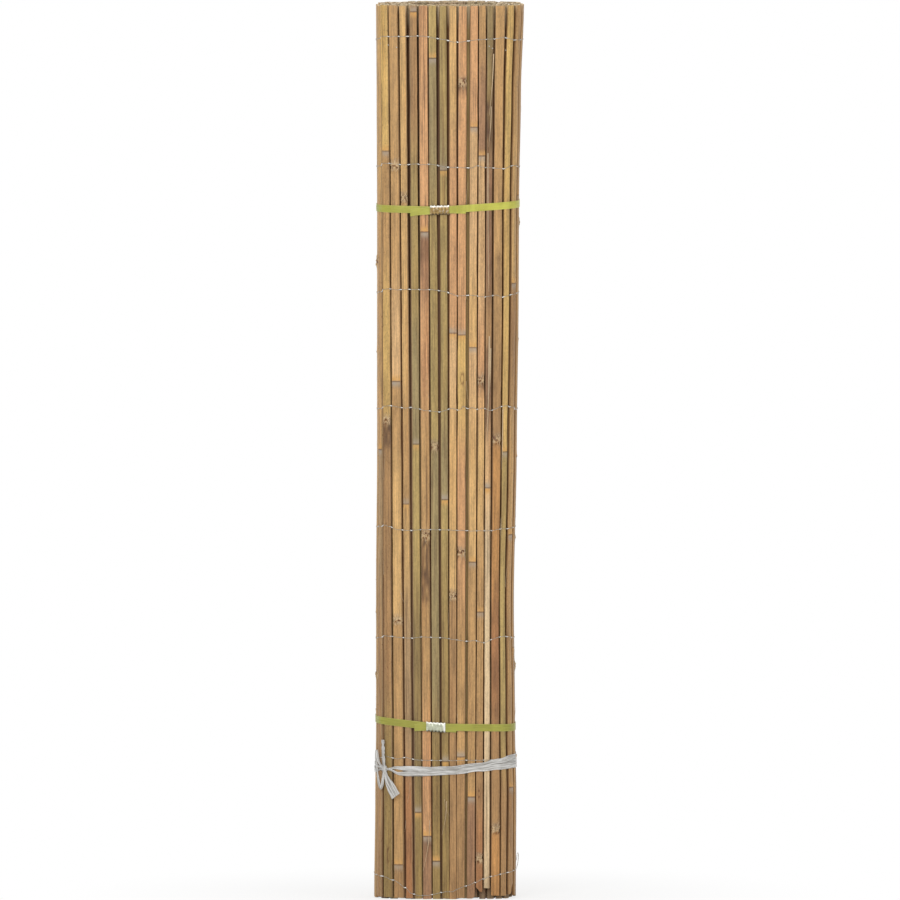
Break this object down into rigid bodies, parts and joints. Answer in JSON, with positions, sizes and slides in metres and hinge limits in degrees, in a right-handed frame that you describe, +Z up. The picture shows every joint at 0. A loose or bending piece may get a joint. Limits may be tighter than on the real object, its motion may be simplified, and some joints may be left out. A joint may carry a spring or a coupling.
{
  "type": "rolled bamboo fence panel",
  "caption": "Split-bamboo fence mat rolled up and standing on its end, slats bound by rows of wire, tied with flat straps, crimped seals and a knotted tape.",
  "frame": {"origin": "middle of the base, on the surface that the roll stands on", "axes": "+Z up along the slats, -Y towards the front with the strap seals, +X to the right seen from the front"},
  "size_m": [0.2446, 0.2044, 1.5],
  "materials": {
    "bamboo": "natural split bamboo, skin side out",
    "bamboo_inner": "natural split bamboo",
    "wire": "galvanised",
    "strap": "satin, finely embossed",
    "seal": "galvanised sheet, crimped",
    "tape": "thin translucent film, crumpled"
  },
  "bodies": {
    "root": {"inner_slats": "bamboo_inner", "lower_seal": "seal", "lower_strap": "strap", "slat_01": "bamboo", "slat_02": "bamboo", "slat_03": "bamboo", "slat_04": "bamboo", "slat_05": "bamboo", "slat_06": "bamboo", "slat_07": "bamboo", "slat_08": "bamboo", "slat_09": "bamboo", "slat_10": "bamboo", "slat_11": "bamboo", "slat_12": "bamboo", "slat_13": "bamboo", "slat_14": "bamboo", "slat_15": "bamboo", "slat_16": "bamboo", "slat_17": "bamboo", "slat_18": "bamboo", "slat_19": "bamboo", "slat_20": "bamboo", "slat_21": "bamboo", "slat_22": "bamboo", "slat_23": "bamboo", "slat_24": "bamboo", "slat_25": "bamboo", "slat_26": "bamboo", "slat_27": "bamboo", "slat_28": "bamboo", "slat_29": "bamboo", "slat_30": "bamboo", "slat_31": "bamboo", "slat_32": "bamboo", "slat_33": "bamboo", "slat_34": "bamboo", "slat_35": "bamboo", "slat_36": "bamboo", "slat_37": "bamboo", "slat_38": "bamboo", "slat_39": "bamboo", "slat_40": "bamboo", "slat_41": "bamboo", "slat_42": "bamboo", "slat_43": "bamboo", "slat_44": "bamboo", "slat_45": "bamboo", "slat_46": "bamboo", "tie_tape": "tape", "upper_seal": "seal", "upper_strap": "strap", "wire_1": "wire", "wire_2": "wire", "wire_3": "wire", "wire_4": "wire", "wire_5": "wire", "wire_6": "wire", "wire_7": "wire", "wire_8": "wire"}
  },
  "joints": []
}
